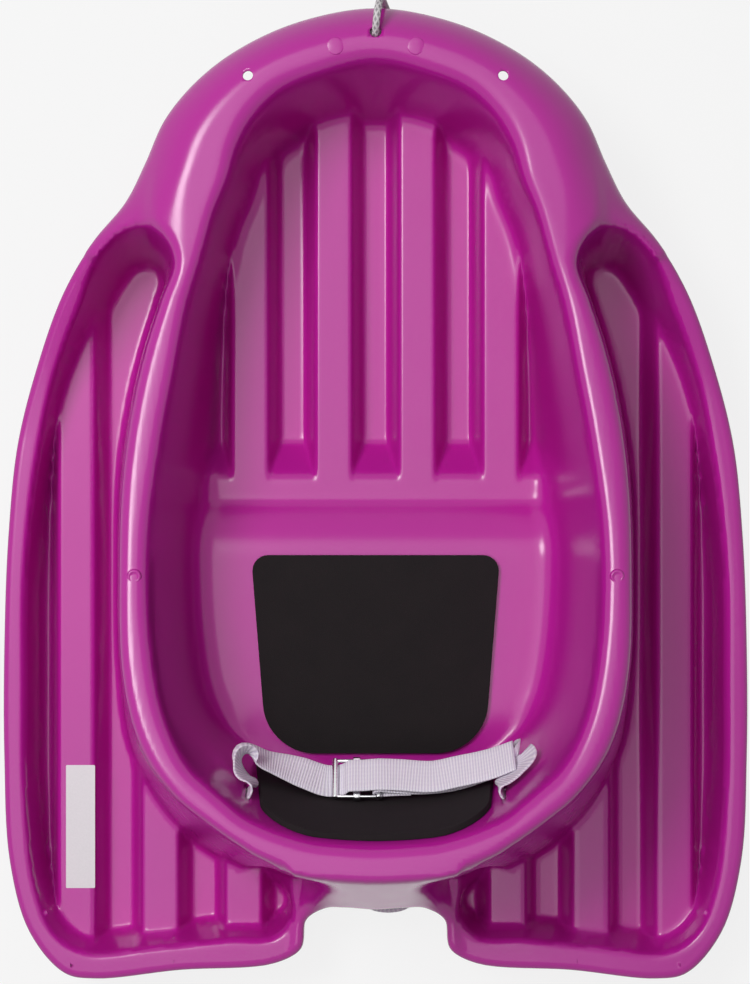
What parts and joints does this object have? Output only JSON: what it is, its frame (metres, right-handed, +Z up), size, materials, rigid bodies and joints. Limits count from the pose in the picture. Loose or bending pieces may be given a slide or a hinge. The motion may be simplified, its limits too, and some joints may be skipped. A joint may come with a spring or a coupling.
{
  "type": "toddler sled",
  "caption": "Moulded toddler sled with a ribbed tub seat and raised backrest, low side wings, foam pads, a webbing lap belt with a steel slide buckle and a tow rope.",
  "frame": {"origin": "middle of the sled's box on the ground plane, without the tow rope", "axes": "+Y towards the nose, +Z up, +X to the right of a seated child"},
  "size_m": [0.5308, 0.691, 0.2024],
  "materials": {
    "hull": "glossy orchid polyethylene",
    "foam": "matt black closed-cell foam",
    "webbing": "ribbed pale webbing",
    "steel": "polished steel",
    "rope": "braided pale rope"
  },
  "bodies": {
    "sled": {"hull_shell": "hull", "seat_pad": "foam", "back_pad": "foam", "belt_webbing": "webbing", "buckle_frame": "steel", "tow_rope_knot": "rope", "tow_rope_lead": "rope", "tow_rope_coil": "rope"},
    "buckle_slider": {"buckle_bar": "steel"}
  },
  "joints": [
    {"name": "buckle_bar_slide", "type": "slide", "parent": "sled", "child": "buckle_slider", "axis": [1, 0, 0], "range_m": [0, 0.007]}
  ]
}
